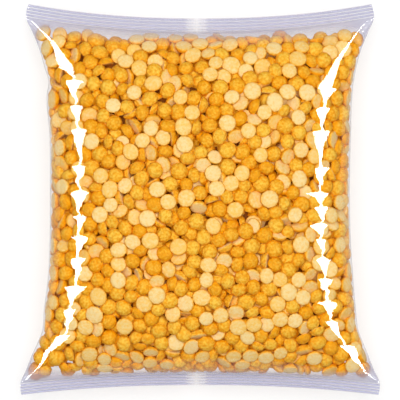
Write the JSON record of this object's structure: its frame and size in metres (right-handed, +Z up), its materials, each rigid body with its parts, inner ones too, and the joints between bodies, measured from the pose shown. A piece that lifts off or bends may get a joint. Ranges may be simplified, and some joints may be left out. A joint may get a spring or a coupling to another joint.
{
  "type": "clear pillow bag of yellow split peas",
  "caption": "Clear sealed pillow bag packed full of dried yellow split peas, lying on its back, with a ribbed flat seal at each end and pinched corners.",
  "frame": {"origin": "on the surface that the bag lies on, under the middle of its outline", "axes": "+X across the bag, +Y along the bag towards its top seal, +Z up out of its front"},
  "size_m": [0.144, 0.1566, 0.0415],
  "materials": {
    "bag": "clear glossy film over pale yellow and golden split peas"
  },
  "bodies": {
    "root": {"bag": "bag"}
  },
  "joints": []
}
